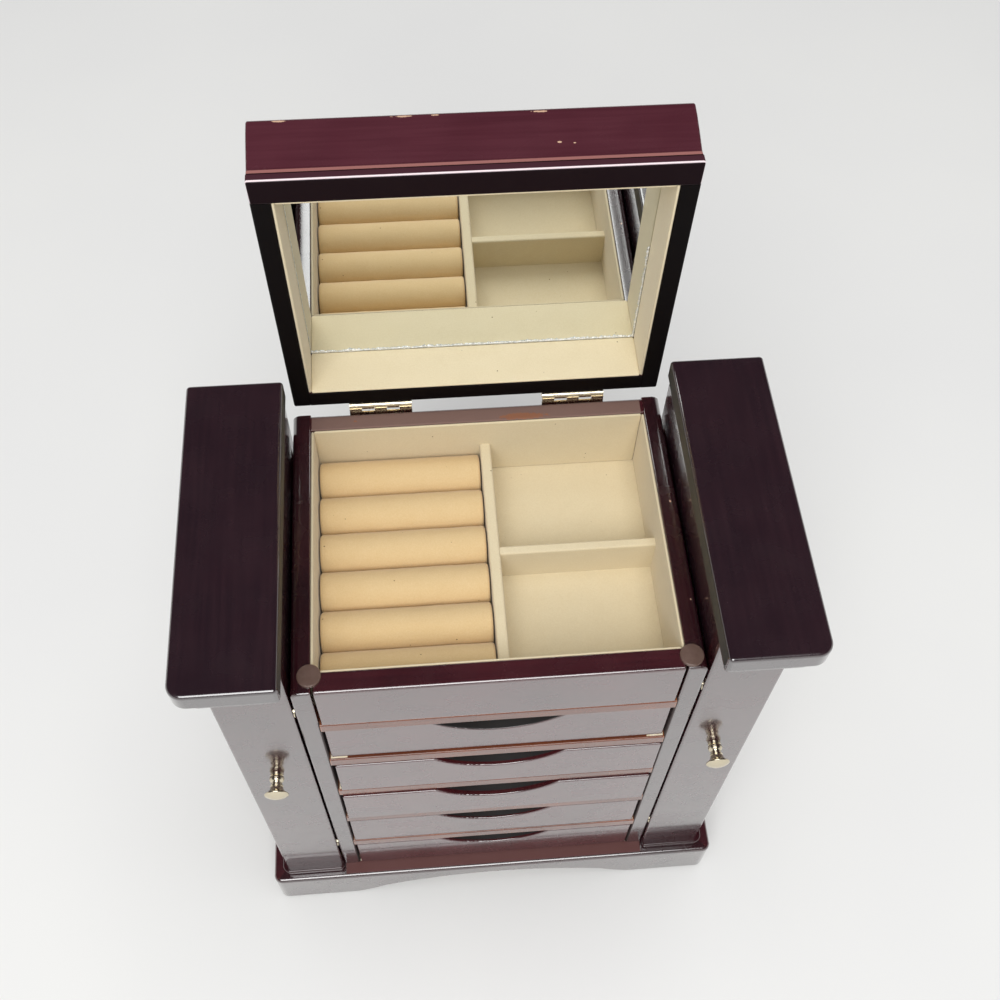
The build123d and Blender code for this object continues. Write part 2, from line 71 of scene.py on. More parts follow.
def camera_axes(yaw, pitch, roll):
    """Forward points yaw round from +Y and pitch below the horizon; right is level and then rolled."""
    forward = Vector((math.sin(yaw) * math.cos(pitch), math.cos(yaw) * math.cos(pitch), -math.sin(pitch)))
    right = Vector((math.cos(yaw), -math.sin(yaw), 0.0))
    down = forward.cross(right)
    return (right * math.cos(roll) + down * math.sin(roll),
            right * math.sin(roll) - down * math.cos(roll), -forward)


def make_camera():
    """The axes become the columns of the camera's own matrix."""
    data = bpy.data.cameras.new("camera")
    data.lens, data.sensor_width = LENS, SENSOR
    data.clip_start, data.clip_end = 0.01, 50.0
    camera = bpy.data.objects.new("camera", data)
    bpy.context.scene.collection.objects.link(camera)
    right, up, back = camera_axes(YAW, PITCH, ROLL)
    camera.matrix_world = Matrix.Translation(CAMERA_PLACE) @ Matrix((right, up, back)).transposed().to_4x4()
    bpy.context.scene.camera = camera
    return camera


print("camera at", [round(c, 3) for c in make_camera().location])

# %% [markdown]
# Small tools for materials
#
# A colour is written as people write it, as a hex code, and one function turns it into the linear
# numbers that the renderer adds up. Another one adds a node, sets its values and joins its links, so
# that each material below reads as a short list of what it does to the light.

# %% Material helpers


def linear(code):
    """Each sRGB channel c becomes c/12.92 near black, and otherwise ((c + 0.055) / 1.055) to the 2.4."""
    channels = [int(code[i:i + 2], 16) / 255 for i in (1, 3, 5)]
    return tuple(c / 12.92 if c <= 0.04045 else ((c + 0.055) / 1.055) ** 2.4 for c in channels) + (1.0,)


def add(tree, kind, settings=None, **inputs):
    """Adds one node: settings are its own options, inputs are sockets with a value or another socket."""
    node = tree.nodes.new("ShaderNode" + kind)
    for name, value in (settings or {}).items():
        setattr(node, name, value)
    for name, value in inputs.items():
        place = int(name[1:]) if name[0] == "i" and name[1:].isdigit() else name.replace("_", " ")
        socket = node.inputs[place]
        if isinstance(value, bpy.types.NodeSocket):
            tree.links.new(value, socket)
        else:
            socket.default_value = value
    return node


def material(name, **surface):
    """A new material with one Principled shader, whose plain values are set on its own sockets."""
    made = bpy.data.materials.new(name)
    made.use_nodes = True
    shader = made.node_tree.nodes["Principled BSDF"]
    for socket, value in surface.items():
        shader.inputs[socket.replace("_", " ")].default_value = value
    return made, made.node_tree, shader


def mixed(tree, factor, first, second, blend="MIX"):
    """The colour between first and second that factor picks."""
    node = add(tree, "Mix", {"data_type": "RGBA", "blend_type": blend}, Factor=factor)
    for place, value in ((6, first), (7, second)):
        if isinstance(value, bpy.types.NodeSocket):
            tree.links.new(value, node.inputs[place])
        else:
            node.inputs[place].default_value = value
    return node.outputs[2]


def sums(tree, operation, *values):
    """One step of arithmetic on numbers or sockets."""
    return add(tree, "Math", {"operation": operation},
               **{f"i{place}": value for place, value in enumerate(values)}).outputs[0]


def ranged(tree, value, low, high, to_low=0.0, to_high=1.0):
    """Value between low and high, stretched to the new limits and held there."""
    node = add(tree, "MapRange", i0=value, i1=low, i2=high, i3=to_low, i4=to_high)
    return node.outputs[0]


def grain_place(tree, size_mm, place=(0, 0, 0)):
    """Object coordinates counted in pattern steps: one step is size_mm long on each axis."""
    coordinates = add(tree, "TexCoord").outputs["Object"]
    scale = tuple(1.0 / (step * MM) for step in size_mm)
    return add(tree, "Mapping", Vector=coordinates, Location=place, Scale=scale).outputs[0]


def noise(tree, size_mm, detail=2.0, roughness=0.5, place=(0, 0, 0)):
    """Soft random pattern whose blobs are about size_mm on each axis."""
    return add(tree, "TexNoise", Vector=grain_place(tree, size_mm, place), Scale=1.0,
               Detail=detail, Roughness=roughness).outputs[0]


print("white paper is", [round(c, 2) for c in linear("#f2f2f0")][:3])

# %% [markdown]
# Lacquered wood
#
# The box is a pale hardwood, sprayed with a dark cherry toner and then with clear lacquer. The toner
# hides nearly all of the grain, so the faces look almost black from above, and grey wherever they
# mirror a pale table. Along the edges the toner is thin or rubbed through, and red brown wood shows.
# A Bevel node finds those edges: it gives the normal that a rounded edge would have, and where that
# differs from the real normal there is an edge. Open pores run along the grain as a fine bump. Chips
# bare the wood in ragged spots. Patches are boxes with their own colour and no clear coat: some are
# rubbed dull or dusty, and some are painted shade, painted shadow and painted highlights.

# %% Lacquer
GRAIN_WIDTH, GRAIN_LENGTH = 1.6, 46.0
PORE_WIDTH, PORE_LENGTH = 0.35, 7.0
WEAR_WIDTH, WEAR_LENGTH = 1.2, 9.0
CLOUD, HAZE, EDGE_REACH = 34.0, 14.0, 1.3
LACQUER_DARK, LACQUER_WARM = "#260b11", "#371319"
HIGH_GLOSS, PLAIN_GLOSS, SATIN, DULL = 1.8, 1.52, 1.4, 1.22


def along(axis, length, width):
    """A step that is long on the grain's axis and narrow on the other two."""
    return tuple(length if letter == axis else width for letter in "XYZ")


def edge_mask(tree, reach_mm, start, full):
    """How far the surface turns within reach_mm: 0 on a flat face, 1 on an edge."""
    rounded = add(tree, "Bevel", {"samples": 6}, Radius=reach_mm * MM).outputs[0]
    real = add(tree, "NewGeometry").outputs["Normal"]
    agreement = add(tree, "VectorMath", {"operation": "DOT_PRODUCT"}, i0=rounded, i1=real).outputs["Value"]
    return ranged(tree, sums(tree, "SUBTRACT", 1.0, agreement), start, full)


def chip_mask(tree, chips):
    """1 inside ragged spots. Each chip is a centre and a half size in mm; noise tears its outline."""
    place = add(tree, "TexCoord").outputs["Object"]
    ragged = noise(tree, (1.6, 1.6, 1.6), 4.0, 0.7)
    total = None
    for centre, half in chips:
        offset = add(tree, "VectorMath", {"operation": "SUBTRACT"}, i0=place,
                     i1=tuple(c * MM for c in centre)).outputs[0]
        scaled = add(tree, "VectorMath", {"operation": "DIVIDE"}, i0=offset,
                     i1=tuple(h * MM for h in half)).outputs[0]
        distance = add(tree, "VectorMath", {"operation": "LENGTH"}, i0=scaled).outputs["Value"]
        inside = ranged(tree, sums(tree, "ADD", distance, sums(tree, "MULTIPLY", ragged, 1.6)), 1.62, 1.5)
        total = inside if total is None else sums(tree, "MAXIMUM", total, inside)
    return total


def box_mask(tree, low, high, soft=0.3):
    """1 inside a box given by two corners in mm, fading to 0 over the soft distance outside it."""
    place = add(tree, "SeparateXYZ", Vector=add(tree, "TexCoord").outputs["Object"]).outputs
    total = 1.0
    for axis, near, far in zip("XYZ", low, high):
        above = ranged(tree, place[axis], (near - soft) * MM, near * MM)
        below = ranged(tree, place[axis], (far + soft) * MM, far * MM)
        total = sums(tree, "MULTIPLY", total, sums(tree, "MULTIPLY", above, below))
    return total


def lacquer(name, axis, gloss, tones=(LACQUER_DARK, LACQUER_WARM), worn="#6b2f28", wear=0.5,
            chips=(), bared="#c9a68c", patches=()):
    """Toner under clear lacquer: grain on one axis, worn edges, torn chips, and patches with no gloss, some
    of them painted light and shade.
    """
    made, tree, shader = material(name, Coat_Weight=1.0, Coat_Roughness=0.1,
                                  Coat_IOR=gloss + 0.1, IOR=gloss)
    streaks = noise(tree, along(axis, GRAIN_LENGTH, GRAIN_WIDTH), 3.0, 0.6)
    clouds = noise(tree, (CLOUD,) * 3, 2.0, 0.5, (3, 1, 7))
    tone = ranged(tree, sums(tree, "ADD", streaks, clouds), 0.75, 1.3)
    colour = mixed(tree, tone, linear(tones[0]), linear(tones[1]))
    patchy = noise(tree, along(axis, WEAR_LENGTH, WEAR_WIDTH), 3.0, 0.65, (5, 2, 1))
    thin = ranged(tree, patchy, 0.62 - 0.3 * wear, 0.7)
    edges = sums(tree, "MULTIPLY", edge_mask(tree, EDGE_REACH, 0.015, 0.16), thin)
    colour = mixed(tree, edges, colour, linear(worn))
    rough = ranged(tree, noise(tree, (HAZE,) * 3, 2.0, 0.5), 0.3, 0.7, 0.22, 0.3)
    bare = 0.0
    for low, high, shade in patches:
        inside = box_mask(tree, low, high)
        colour = mixed(tree, inside, colour, linear(shade))
        bare = sums(tree, "MAXIMUM", bare, inside)
    if patches:
        tree.links.new(sums(tree, "SUBTRACT", 1.0, bare), shader.inputs["Coat Weight"])
        rough = sums(tree, "ADD", rough, sums(tree, "MULTIPLY", bare, 0.4))
    if chips:
        colour = mixed(tree, chip_mask(tree, chips), colour, linear(bared))
    tree.links.new(colour, shader.inputs["Base Color"])
    tree.links.new(rough, shader.inputs["Roughness"])
    pores = noise(tree, along(axis, PORE_LENGTH, PORE_WIDTH), 2.0, 0.6)
    bump = add(tree, "Bump", Strength=0.035, Distance=0.1 * MM, Height=pores).outputs[0]
    tree.links.new(bump, shader.inputs["Normal"])
    return made


# Painted shadow: the scoop in each drawer front's top edge lies in the rail's shadow, so it is painted near
# black with no clear coat.
scoop_painted_shadow = ((-33.0, -71.8, 30.0), (33.0, -60.0, 256.0), "#090304")
# Painted shade: the caps' inner sides are painted near black with no clear coat, a dark sheet in place of
# the tray they would mirror.
cap_inside_painted_shade = ((-91.6, -85.0, 317.0), (91.6, 70.0, 329.0), "#070203")
gloss_x = lacquer("cherry lacquer on hardwood, grain across", "X", HIGH_GLOSS, ("#360f17", "#491920"))
gloss_drawer = lacquer("cherry lacquer on the drawer fronts", "X", HIGH_GLOSS, ("#3a1219", "#4e1b22"),
                       patches=[scoop_painted_shadow])
gloss_z = lacquer("cherry lacquer on hardwood, grain upright", "Z", HIGH_GLOSS, ("#2e0f16", "#3e161d"),
                  worn="#7b3a30", wear=0.8)
gloss_outer = lacquer("cherry lacquer on the outer panels, grain upright", "Z", PLAIN_GLOSS,
                      ("#3a121a", "#4a1a21"), worn="#7b3a30", wear=0.8)
gloss_cap = lacquer("cherry lacquer on the caps, grain front to back", "Y", HIGH_GLOSS,
                    ("#24121a", "#2f1a21"), patches=[cap_inside_painted_shade])
print("lacquers:", gloss_x.name, "|", gloss_z.name, "|", gloss_cap.name)

# %% [markdown]
# Suede
#
# The tray, the lid and the drawers are lined with flocked suede paper: a short cream pile on card.
# It has no gloss at all, a faint velvety glow at grazing angles, fine mottling where the pile lies
# different ways, and a scatter of dark specks of lint. The ring rolls wear a warmer, peachier suede.

# %% Suede


def suede(name, pale, deep, specks=0.5):
    """Matt pile: mottled between two close colours, with sparse dark lint specks and a soft sheen."""
    made, tree, shader = material(name, Roughness=0.95, Sheen_Weight=0.25, Sheen_Roughness=0.5, IOR=1.45)
    mottle = noise(tree, (9.0, 9.0, 9.0), 4.0, 0.6)
    pile = noise(tree, (0.7, 0.7, 0.7), 2.0, 0.7)
    tone = ranged(tree, sums(tree, "ADD", sums(tree, "MULTIPLY", mottle, 0.35), pile), 0.3, 1.05)
    colour = mixed(tree, tone, linear(deep), linear(pale))
    cells = add(tree, "TexVoronoi", {"feature": "F1"}, Vector=grain_place(tree, (5.5, 5.5, 5.5)),
                Scale=1.0, Randomness=1.0)
    chosen = sums(tree, "GREATER_THAN", add(tree, "SeparateColor", Color=cells.outputs["Color"]).outputs[0],
                  1.0 - 0.35 * specks)
    dot = ranged(tree, cells.outputs["Distance"], 0.075, 0.04)
    colour = mixed(tree, sums(tree, "MULTIPLY", chosen, dot), colour, linear("#6d5433"))
    tree.links.new(colour, shader.inputs["Base Color"])
    bump = add(tree, "Bump", Strength=0.35, Distance=0.15 * MM, Height=pile).outputs[0]
    tree.links.new(bump, shader.inputs["Normal"])
    return made


cream_suede = suede("cream suede paper, flocked", "#dccfb0", "#d2c29f", 0.5)
roll_suede = suede("peach suede over foam", "#dac093", "#d0b281", 0.8)
# The lid's suede is the same cream suede with fewer lint specks, painted paler as if more brightly lit.
lid_suede_painted_paler = suede("cream suede paper in the lid, less lint, painted paler", "#e4d7b8", "#d9caa6", 0.3)
print("suedes:", cream_suede.name, "|", roll_suede.name)

# %% [markdown]
# Metal, glass and the small stuff
#
# The knobs and hinges are pressed or turned metal with pale nickel plating, which is slightly yellow
# and has dark lines where polish and dirt gather in the grooves. The mirror is float glass silvered
# behind. The glides are white plastic tape, the bumpers clear soft plastic discs gone brown.

# %% Metals, glass and plastics


def nickel(name, colour="#dcd2bd", roughness=0.16):
    """Bright plating, dulled in patches, with grime in its inner corners."""
    made, tree, shader = material(name, Metallic=1.0)
    patches = noise(tree, (1.6, 1.6, 1.6), 3.0, 0.6)
    dulled = ranged(tree, patches, 0.3, 0.75, roughness - 0.05, roughness + 0.16)
    tree.links.new(dulled, shader.inputs["Roughness"])
    corner = add(tree, "AmbientOcclusion", {"samples": 6, "only_local": True}, Distance=1.2 * MM)
    grime = ranged(tree, corner.outputs["AO"], 0.45, 0.15)
    tree.links.new(mixed(tree, grime, linear(colour), linear("#2a231a")), shader.inputs["Base Color"])
    return made


def plain(name, colour, other, size_mm, **surface):
    """A simple finish that drifts between two close colours at the size of its own blotches."""
    made, tree, shader = material(name, **surface)
    spots = ranged(tree, noise(tree, size_mm, 3.0, 0.6), 0.35, 0.65)
    tree.links.new(mixed(tree, spots, linear(colour), linear(other)), shader.inputs["Base Color"])
    return made


nickel_plate = nickel("pale nickel plate, turned and polished", "#d6cbb3", 0.17)
hook_brass = nickel("bright brass plate, bent wire", "#d8b878", 0.14)
magnet_plate = plain("nickelled magnet steel", "#8c857a", "#5f5850", (2, 2, 2), Metallic=0.9,
                     Roughness=0.35)
silvered_glass = plain("silvered float glass", "#eef1ef", "#ebeeec", (60, 60, 60), Metallic=1.0,
                       Roughness=0.008)
glide_tape = plain("white glide tape, polyethylene", "#fbf3dc", "#f0e2c0", (3, 3, 3), Roughness=0.35,
                   IOR=1.51)
clear_bumper = plain("clear bumper, cast polyurethane", "#80675d", "#735a50", (4, 4, 4), Roughness=0.25,
                     IOR=1.5, Transmission_Weight=0.35)
foot_felt = plain("pressed wool felt, charcoal", "#262223", "#34302f", (0.8, 0.8, 0.8), Roughness=1.0)
bare_board = plain("bare fibreboard, sanded", "#a98a66", "#9a7a56", (1.2, 1.2, 1.2), Roughness=0.85)
grey_card = plain("grey backing card", "#8d8579", "#807869", (1.0, 1.0, 1.0), Roughness=0.9)
stained_wood = plain("dark stained poplar, thin coat", "#3a1c19", "#4d2822", (12, 1.2, 1.2),
                     Roughness=0.5, IOR=1.5)
print("small finishes:", len(bpy.data.materials), "materials so far")

# %% [markdown]
# Dressing the frame
#
# Every board keeps its own shape and only gets a finish. The grain runs the long way of each board,
# so the boards are sorted by direction. The rails between the drawers are rubbed by the fronts, so
# they get the most wear, and so do the front edges of the slabs under the wings.

# %% Assign finishes to the boards
top_strip = ((-89.5, -79.6, 33.9), (89.5, -73.0, 35.0), "#5c2a25")
post_inside = ((-82.0, -73.2, 30.0), (82.0, 64.0, 260.0), "#2a100c")
rear_edges = ((-96.0, 73.0, 20.0), (96.0, 74.5, 292.0), "#3a121a")
# The back rim's top is one even pale dusty brown with no clear coat: partly dust on a rubbed dull rim,
# partly a painted glare where light strikes it.
rim_dust_and_glare = ((-81.0, 64.0, 292.9), (80.0, 71.5, 294.5), "#785d54")
back_chips = [((22.0, 65.8, 293.5), (14.0, 2.4, 1.0)), ((-60.0, 68.0, 293.5), (1.2, 0.8, 1.0))]
lid_chips = [((-76.0, 100.3, 450.3), (3.6, 0.6, 0.7)), ((-27.5, 100.3, 450.3), (5.0, 0.6, 0.7)),
             ((-15.0, 100.3, 450.3), (2.2, 0.5, 0.6)), ((26.5, 100.0, 450.4), (4.2, 0.6, 0.6)),
             ((33.0, 85.6, 447.3), (1.0, 0.5, 0.8)), ((39.0, 85.0, 447.1), (0.7, 0.4, 0.8))]
# Painted light and shade on the open lid, in bands along y: the rim face painted near black in place of
# what it would mirror, a painted white highlight on the lip's rounded edge, a painted dark grey reflection
# on the lip face, a painted shadow line under the step and a painted highlight on the ridge. The last box
# paints the back wall's rim face near black, painted shade in place of the tray it would mirror.
lid_painted_light_bands = [((-90.0, low, 430.0), (90.0, high, 460.0), shade) for low, high, shade in (
    (60.0, 72.3, "#14040a"), (72.3, 72.9, "#f0dfe2"), (72.9, 75.8, "#43232c"), (75.9, 76.5, "#180508"),
    (76.8, 78.8, "#96645f"))] + [((-90.0, 60.0, 296.0), (90.0, 75.9, 309.0), "#080203")]
side_chips = [((-90.4, -0.5, 293.5), (0.9, 2.2, 0.9)), ((88.0, -40.0, 293.5), (0.7, 0.7, 0.5)),
              ((86.5, 12.0, 293.5), (0.6, 0.9, 0.5)), ((89.0, 35.0, 293.5), (0.5, 0.5, 0.5))]
gloss_plinth = lacquer("cherry lacquer, worn along the top of the plinth", "X", HIGH_GLOSS,
                       patches=[top_strip])
gloss_sides = lacquer("cherry lacquer, nicked on the side boards", "Z", HIGH_GLOSS, worn="#8a4034",
                      wear=1.0, chips=side_chips, patches=[post_inside, rear_edges])
gloss_back = lacquer("cherry lacquer, torn at the back rim", "X", PLAIN_GLOSS, ("#3a121a", "#4a1a21"),
                     chips=back_chips, bared="#8a5a40", patches=[rim_dust_and_glare])
# The lid's front wall carries all the painted highlight and shade bands.
dull_lid = lacquer("cherry lacquer, reddish on the lid", "X", DULL, ("#482029", "#522831"), "#8d4a48", 0.6,
                   lid_chips, patches=lid_painted_light_bands)
# Painted shade: the rim faces of the lid's side walls are painted near black with no clear coat, in place
# of the tray they would mirror.
lid_side_rims_painted_shade = ((-90.0, 60.0, 296.0), (90.0, 75.9, 460.0), "#060203")
dull_lid_sides = lacquer("cherry lacquer on the lid sides, grain front to back", "Y", DULL,
                         ("#2c1017", "#38171f"), patches=[lid_side_rims_painted_shade])
# The lid top and back wall carry only the last band: painted shade on the back wall's rim face.
dull_lid_top = lacquer("cherry lacquer on the lid top", "X", DULL, ("#38151e", "#451d27"),
                       patches=lid_painted_light_bands[-1:])
rubbed_rail = lacquer("cherry lacquer, rubbed through on the rails", "X", SATIN, ("#562818", "#7a4127"),
                      "#b9764a", 1.6)
rubbed_slab = lacquer("cherry lacquer, rubbed along the slab edges", "X", SATIN, worn="#8f5546", wear=1.3)


def dress(finish, nodes):
    """Gives CAD nodes one finish in place of the plain colour that they came with."""
    for name in nodes:
        mesh = frame["nodes"][name].data
        mesh.materials.clear()
        mesh.materials.append(finish)
    return len(nodes)


def both(*names):
    """The same piece on the left wing and on the right wing."""
    return [f"{side}_wing_{name}" for side in ("left", "right") for name in names]


drawer_numbers = range(1, 6)
finishes = (
    (gloss_x, ["plinth_rear_aprons", "tray_front_panel"]),
    (gloss_drawer, [f"drawer_{number}_front" for number in drawer_numbers]),
    (gloss_plinth, ["plinth_front_apron"]),
    (gloss_sides, ["left_side_board", "right_side_board"]),
    (gloss_z, both("front_panel")),
    (gloss_outer, both("outer_panel", "back_panel")),
    (gloss_cap, both("cap", "cap_moulding", "header")),
    (gloss_back, ["back_board"]),
    (dull_lid, ["lid_front_wall"]),
    (dull_lid_top, ["lid_top_panel", "lid_back_wall"]),
    (dull_lid_sides, ["lid_side_walls"]),
    (rubbed_rail, ["drawer_frames"]),
    (rubbed_slab, both("base")),
    (stained_wood, [f"drawer_{number}_box" for number in drawer_numbers]),
    (bare_board, ["plinth_deck", "tray_floor_board"]),
    (cream_suede, ["tray_lining", "long_divider", "cross_divider", "lid_lining"]),
    (nickel_plate, ["lid_hinge_fixed_leaves", "lid_hinge_lid_leaves", "wing_hinge_fixed_leaves",
                    "hinge_pins", *both("knob", "fittings")]),
    (hook_brass, both("necklace_hooks")),
    (magnet_plate, ["catch_magnets"]),
    (silvered_glass, ["lid_mirror"]),
    (glide_tape, ["drawer_glides"]),
    (clear_bumper, ["lid_bumpers"]),
    (foot_felt, ["felt_feet"]),
    (grey_card, ["mirror_backing"]),
)
dressed = sum(dress(finish, nodes) for finish, nodes in finishes)
print("dressed", dressed, "nodes")

# %% [markdown]
# Small tools for meshes
#
# A new surface here is a stack of rings: each ring is one closed outline, and the stack is the path
# that the outline takes. All rings are computed at once as one array, quads join each ring to the
# next, and a single point closes each end. That one helper makes rolls, cards, cups and screws.

# %% Mesh helpers


def shell(rings):
    """Joins rings with quads, fans round a middle point at both ends, and turns the faces outwards."""
    count, around = rings.shape[:2]
    points = np.vstack([rings.reshape(-1, 3), rings[0].mean(0), rings[-1].mean(0)])
    step, turn = np.meshgrid(np.arange(count - 1), np.arange(around), indexing="ij")
    after = (turn + 1) % around
    quads = np.stack([step * around + turn, step * around + after,
                      (step + 1) * around + after, (step + 1) * around + turn], -1).reshape(-1, 4)
    near = np.arange(around)
    far = (near + 1) % around
    tail = (count - 1) * around
    fans = np.vstack([np.stack([far, near, np.full(around, count * around)], -1),
                      np.stack([tail + near, tail + far, np.full(around, count * around + 1)], -1)])
    if volume(points, quads, fans) < 0:
        quads, fans = quads[:, ::-1], fans[:, ::-1]
    return points, quads, fans


def volume(points, quads, fans):
    """The sum of a . (b x c) / 6 over all triangles, which is positive when the faces look outwards."""
    triangles = np.vstack([quads[:, :3], quads[:, [0, 2, 3]], fans])
    a, b, c = (points[triangles[:, corner]] for corner in range(3))
    return (a * np.cross(b, c)).sum() / 6


def piece(name, points, faces, finish, body):
    """Puts points and faces into a new smooth object at the origin that rides on one body."""
    mesh = bpy.data.meshes.new(name)
    mesh.from_pydata(points.tolist(), [], faces)
    mesh.polygons.foreach_set("use_smooth", [True] * len(mesh.polygons))
    mesh.materials.append(finish)
    mesh.update()
    made = bpy.data.objects.new(name, mesh)
    bpy.context.scene.collection.objects.link(made)
    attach(made, body)
    return made


def skin(name, rings, finish, body):
    """One piece made of one stack of rings."""
    points, quads, fans = shell(rings)
    return piece(name, points, quads.tolist() + fans.tolist(), finish, body)


def corners(node):
    """The low and the high corner of a node's box."""
    return tuple(np.array(corner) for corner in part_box(node))


def rounded_loop(half_x, half_y, corner, per_corner=6):
    """A rectangle with round corners, as a closed outline: four quarter circles joined by its sides."""
    quarter = np.linspace(0, math.pi / 2, per_corner)
    loops = []
    for number, (sign_x, sign_y) in enumerate(((1, 1), (-1, 1), (-1, -1), (1, -1))):
        angle = quarter + number * math.pi / 2
        loops.append(np.stack([sign_x * (half_x - corner) + corner * np.cos(angle),
                               sign_y * (half_y - corner) + corner * np.sin(angle)], -1))
    return np.vstack(loops)


def ripple(x, y, seed, size):
    """A smooth height of about -1 to 1 from three sine waves at odd angles; size is the wavelength."""
    spin = np.random.default_rng(seed).uniform(0, 2 * math.pi, (3, 2))
    return sum(np.sin(2 * math.pi * (x * math.cos(a) + y * math.sin(a)) / size * (1 + 0.37 * k) + b)
               for k, (a, b) in enumerate(spin)) / 3


print("mesh helpers ready")

# %% [markdown]
# Ring rolls
#
# A ring roll is a foam rod wrapped in suede. Six of them lie side by side, and a ring is pushed down
# between two. Each one is pressed a little by its neighbours and flattened where it rests, and the
# suede is folded over a card disc at each end, which leaves a soft rim. The rolls are tight and firm,
# so their small unevenness is worked out as waves, where a slack cushion would be simulated.

# %% Ring rolls
ROLL_COUNT, ROLL_AROUND = 6, 72
ROLL_RIM, ROLL_DOME = 1.5 * MM, 0.35 * MM


def roll_stations(length, radius):
    """Place along the roll and radius there: a slightly domed end, a quarter round rim, a straight part."""
    dome = [(ROLL_DOME * (1 - share), share * (radius - ROLL_RIM)) for share in (0.2, 0.45, 0.7, 0.9)]
    turn = np.linspace(0, math.pi / 2, 7)
    rim = [(ROLL_RIM * (1 - math.cos(t)), radius - ROLL_RIM + ROLL_RIM * math.sin(t)) for t in turn]
    near = np.array([(ROLL_DOME - place, r) for place, r in dome]
                    + [(ROLL_DOME + place, r) for place, r in rim])
    middle = np.linspace(near[-1, 0], length - near[-1, 0], 44)[1:-1]
    body = np.stack([middle, np.full(len(middle), radius)], -1)
    far = np.stack([length - near[::-1, 0], near[::-1, 1]], -1)
    return np.vstack([near, body, far])


def ring_roll(number, centre_y, centre_z, start_x, length, radius):
    """Rings round the roll's line: sides stop at its neighbours, its foot at the bed, waves cross it."""
    stations = roll_stations(length, radius)
    angle = np.linspace(0, 2 * math.pi, ROLL_AROUND, endpoint=False)
    place, reach = stations[:, :1], stations[:, 1:]
    share = reach / radius
    waves = ripple(place / MM, angle * radius / MM, number, 24.0) * 0.10 + ripple(
        place / MM, angle * radius / MM, number + 20, 7.0) * 0.035
    swell = reach + waves * MM * share ** 2
    side, up = swell * np.cos(angle), swell * np.sin(angle)
    side = np.clip(side, -radius, radius)
    up = np.maximum(up, -radius + 0.25 * MM * share)
    rings = np.stack([np.broadcast_to(start_x + place, side.shape), centre_y + side, centre_z + up], -1)
    return skin(f"ring_roll_{number}", rings, roll_suede, "cabinet")


rolls_low, rolls_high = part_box("ring_rolls")
roll_radius = (rolls_high.z - rolls_low.z) / 2
roll_length = rolls_high.x - rolls_low.x
roll_rows = np.linspace(rolls_low.y + roll_radius, rolls_high.y - roll_radius, ROLL_COUNT)
for number, row in enumerate(roll_rows, 1):
    roll = ring_roll(number, row, rolls_low.z + roll_radius, rolls_low.x, roll_length, roll_radius)
    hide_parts("ring_rolls")
print("ring rolls of", round(2 * roll_radius / MM, 1), "mm")

# %% [markdown]
# Suede cards
#
# The tray and the lid are lined with cards: suede paper is folded over a thin board, so every edge is
# soft, and the card bows a little. A card is a slab made of nested outlines: from the middle of one
# face out to its rim, round the edge in a half circle, and back to the middle of the other face.

# %% Suede cards
CARD_SHARES = np.array([0.04, 0.16, 0.3, 0.44, 0.58, 0.72, 0.84, 0.93, 0.985])


def card(name, low, high, body, corner=0.8, wave=0.12, finish=None, seed=0, turned=None):
    """Nested outlines across the two long sides, a half round edge as thick as the card, and a slow bow."""
    low, high = np.array(low), np.array(high)
    size = high - low
    thin = int(np.argmin(size))
    long_axes = [axis for axis in range(3) if axis != thin]
    half_a, half_b = size[long_axes] / 2
    edge = size[thin] / 2
    loop = rounded_loop(half_a - edge, half_b - edge, corner * MM, 8)
    sides = np.array([[half_a - edge, 0], [0, half_b - edge]])
    turn = np.linspace(-math.pi / 2, math.pi / 2, 7)
    grow = [(share, 0.0, -edge) for share in CARD_SHARES]
    grow += [(1.0, edge * math.cos(t), edge * math.sin(t)) for t in turn]
    grow += [(share, 0.0, edge) for share in CARD_SHARES[::-1]]
    outward = np.sign(loop) * np.minimum(np.abs(loop) / np.abs(sides.sum(0)), 1.0) ** 24
    rings = np.zeros((len(grow), len(loop), 3))
    for number, (share, out, lift) in enumerate(grow):
        flat = loop * share + outward * out
        bow = ripple(flat[:, 0] / MM, flat[:, 1] / MM, seed, 70.0) * wave * MM
        rings[number][:, long_axes] = flat
        rings[number][:, thin] = lift + bow
    rings += (low + high) / 2
    if turned is not None:
        rings = turned(rings)
    return skin(name, rings, finish or cream_suede, body)


tray_low, tray_high = corners("tray_lining")
fence_low, fence_high = corners("long_divider")
cross_low, cross_high = corners("cross_divider")
BED, WALL, CLEAR = 0.8 * MM, 1.2 * MM, 0.15 * MM
bed_top = tray_low[2] + BED
wall_span = (bed_top + CLEAR, tray_high[2])
bed_span = (tray_low[2], bed_top)
west, south, east, north = *tray_low[:2], *tray_high[:2]
cards = {
    "tray_card_left": ((west, south + CLEAR), (west + WALL, north - CLEAR), wall_span),
    "tray_card_right": ((east - WALL, south + CLEAR), (east, north - CLEAR), wall_span),
    "tray_card_front": ((west + WALL, south), (east - WALL, south + WALL), wall_span),
    "tray_card_back": ((west + WALL, north - WALL), (east - WALL, north), wall_span),
    "tray_bed_under_rolls": ((west, south), (fence_low[0] + MM, north), bed_span),
    "tray_bed_back_bay": ((fence_high[0] - MM, cross_high[1] - MM), (east, north), bed_span),
    "tray_bed_front_bay": ((fence_high[0] - MM, south), (east, cross_low[1] + MM), bed_span),
}
for number, (name, (near, far, (bottom, top))) in enumerate(cards.items()):
    made = card(name, (*near, bottom), (*far, top), "cabinet", seed=number)
    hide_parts("tray_lining")
print("tray cards:", len(cards))

# %% [markdown]
# The lid's cards and the mirror's edge
#
# The lid is easiest to describe closed, as it was built, and then swung open about its hinge by the
# joint's own range. The same turn is applied to every point: rotate about the hinge line.
# The mirror is held in the recess by the cards. Its cut edge is ground, and the ragged line where
# the grinding meets the silvering catches the light as a row of sparks.

